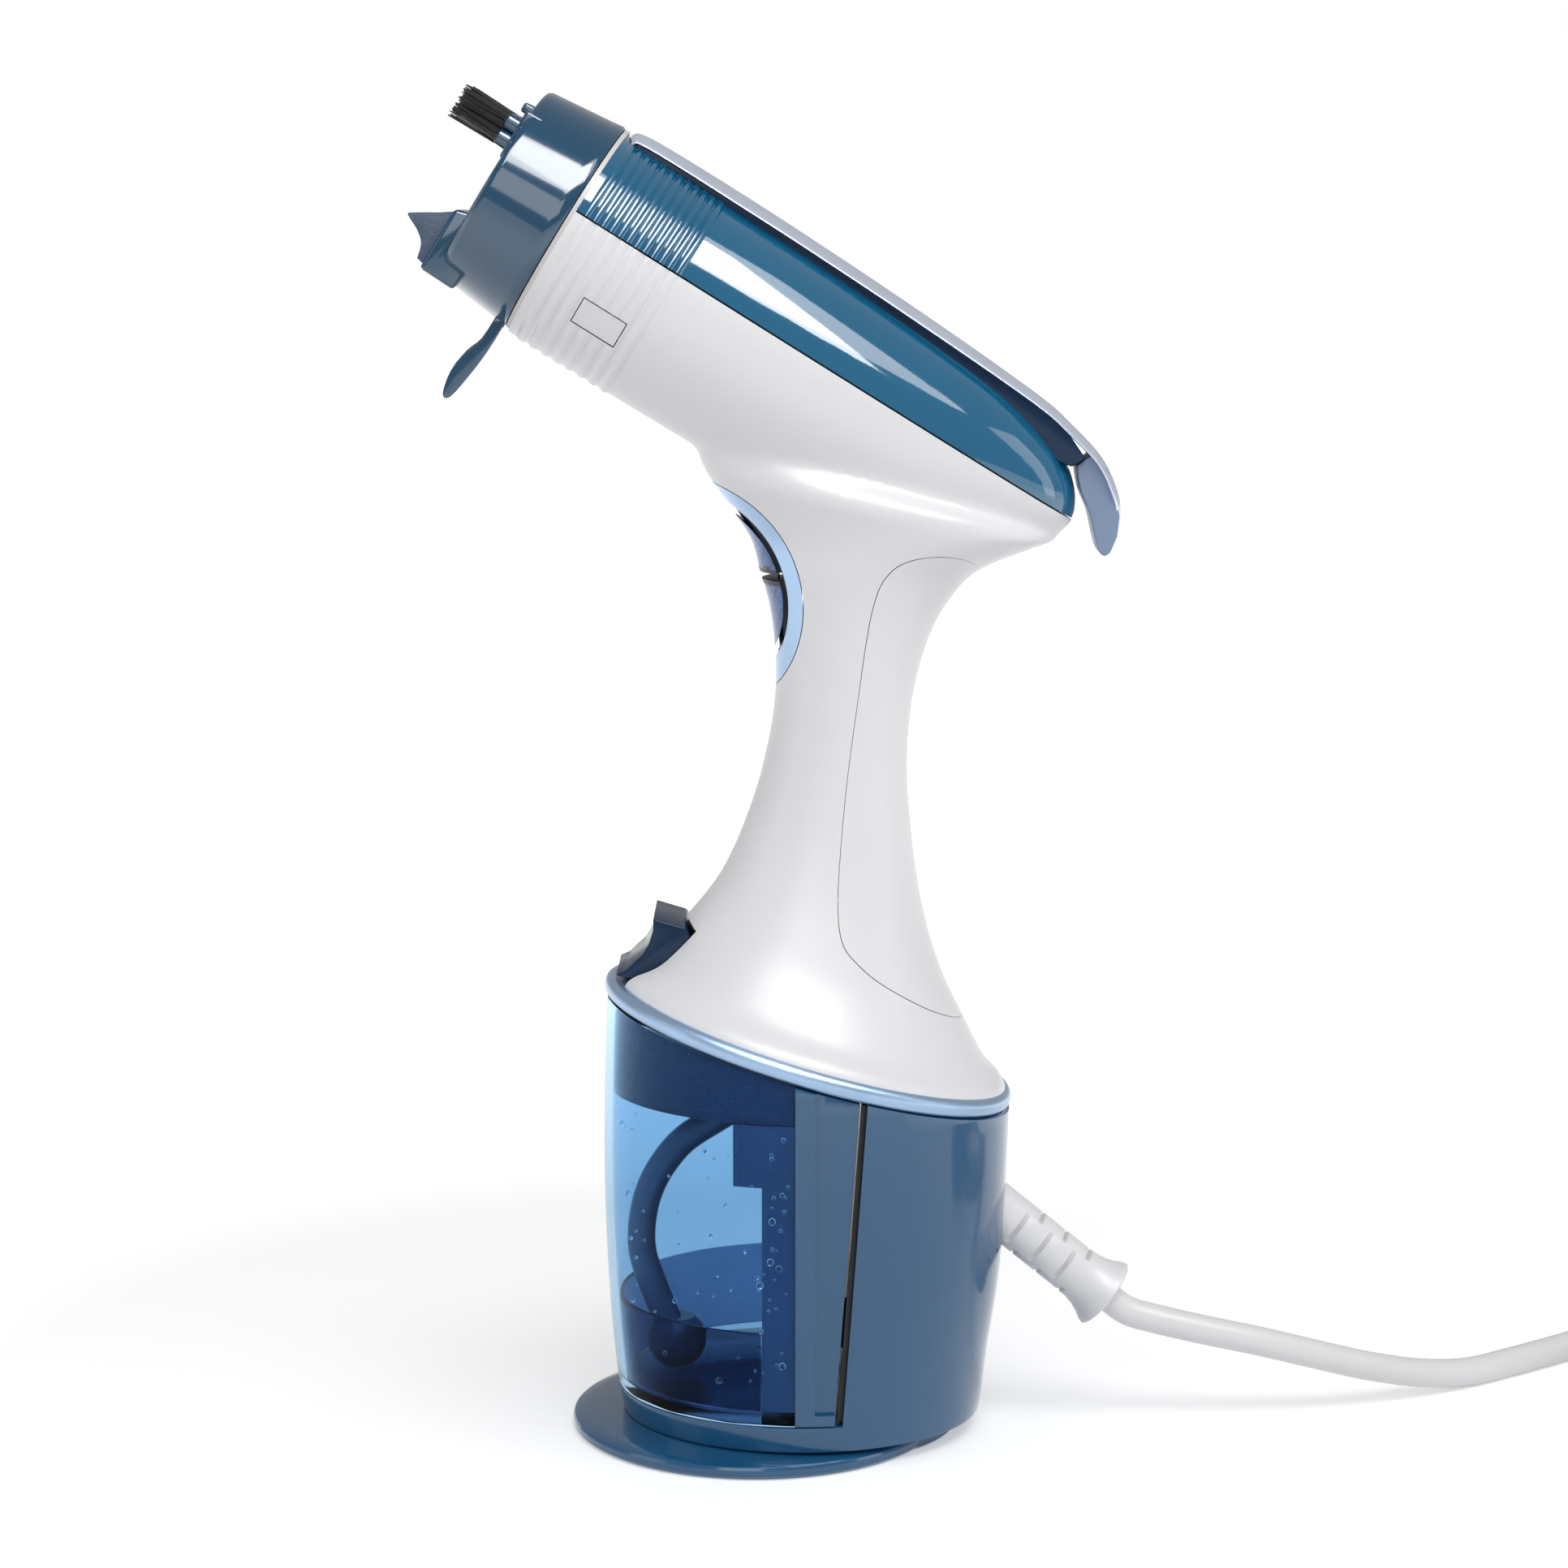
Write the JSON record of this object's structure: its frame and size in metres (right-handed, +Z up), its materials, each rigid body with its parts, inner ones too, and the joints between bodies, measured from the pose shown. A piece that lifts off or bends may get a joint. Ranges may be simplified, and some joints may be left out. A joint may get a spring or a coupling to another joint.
{
  "type": "garment steamer",
  "caption": "hand-held garment steamer with a tilted round head, a clear front tank and a corded base",
  "frame": {"origin": "on the floor plane under the foot, on the mid plane, a little behind the middle of the foot disc", "axes": "+Z up, the head points along -X, the cord leaves along +X, +Y is the far side"},
  "size_m": [0.3989, 0.132, 0.3147],
  "materials": {
    "teal_shell": "satin",
    "white_shell": "satin",
    "ring_metallic": "satin metallic",
    "clear_blue": "clear tinted plastic",
    "dark_blue_clear": "gloss",
    "button_blue": "gloss",
    "collar_teal": "gloss",
    "soft_grey": "matt",
    "dark_rubber": "matt",
    "white_cord": "matt",
    "steel": "bright",
    "cast_alloy": "as cast",
    "motor_metal": "satin",
    "inner_plastic": "matt",
    "board_green": "matt",
    "blade_grey": "grained",
    "bristle_black": "matt",
    "brass_pin": "plated"
  },
  "bodies": {
    "root": {"foot_disc": "teal_shell", "base_housing": "teal_shell", "base_screws": "steel", "trim_ring": "ring_metallic", "inlet_port": "dark_rubber", "inlet_hose": "soft_grey", "pump_body": "motor_metal", "pump_mounts": "dark_rubber", "main_housing": "white_shell", "rear_cover": "white_shell", "thumb_bezel": "white_shell", "switch_bracket": "inner_plastic", "microswitches": "dark_rubber", "control_board": "board_green", "water_hose": "soft_grey", "heater_block": "cast_alloy", "thermostat": "steel", "thermal_fuse": "inner_plastic", "nozzle_core": "white_shell", "steam_plate": "white_shell", "steam_gasket": "soft_grey", "front_ring": "ring_metallic", "head_cover": "teal_shell", "top_trim": "ring_metallic", "hook_screw": "steel", "side_caps": "white_shell", "strain_relief": "white_cord", "cord_clamp": "inner_plastic", "power_cord": "white_cord", "cord_coil": "white_cord", "cord_tail": "white_cord", "plug_body": "white_cord", "plug_pins": "brass_pin"},
    "tank": {"tank_shell": "clear_blue", "tank_back": "teal_shell", "tank_lid": "dark_blue_clear", "pickup_hose": "soft_grey", "pickup_weight": "dark_rubber", "tank_valve": "inner_plastic"},
    "filler_cap": {"filler_plug": "soft_grey"},
    "brush": {"brush_collar": "collar_teal", "tuft_holder": "collar_teal", "bristles": "bristle_black", "fabric_blade": "blade_grey"},
    "release": {"release_button": "dark_blue_clear"},
    "trigger": {"steam_trigger": "button_blue"},
    "power": {"power_button": "button_blue"}
  },
  "joints": [
    {"name": "tank_slide", "type": "slide", "parent": "root", "child": "tank", "axis": [-0.9588, 0, 0.284], "range_m": [0, 0.06]},
    {"name": "filler_turn", "type": "hinge", "parent": "tank", "child": "filler_cap", "pos_m": [-0.01341, 0, 0.09811], "axis": [0.284, 0, 0.9588], "range_deg": [0, 90]},
    {"name": "brush_slide", "type": "slide", "parent": "root", "child": "brush", "axis": [-0.848, 0, 0.5299], "range_m": [0, 0.03]},
    {"name": "release_press", "type": "slide", "parent": "root", "child": "release", "axis": [0.8387, 0, -0.5446], "range_m": [0, 0.003], "stiffness_N_per_m": 400, "springref_m": -0.002},
    {"name": "trigger_press", "type": "slide", "parent": "root", "child": "trigger", "axis": [1, 0, 0], "range_m": [0, 0.0012], "stiffness_N_per_m": 500, "springref_m": -0.001},
    {"name": "power_press", "type": "slide", "parent": "root", "child": "power", "axis": [1, 0, 0], "range_m": [0, 0.0012], "stiffness_N_per_m": 500, "springref_m": -0.001}
  ]
}
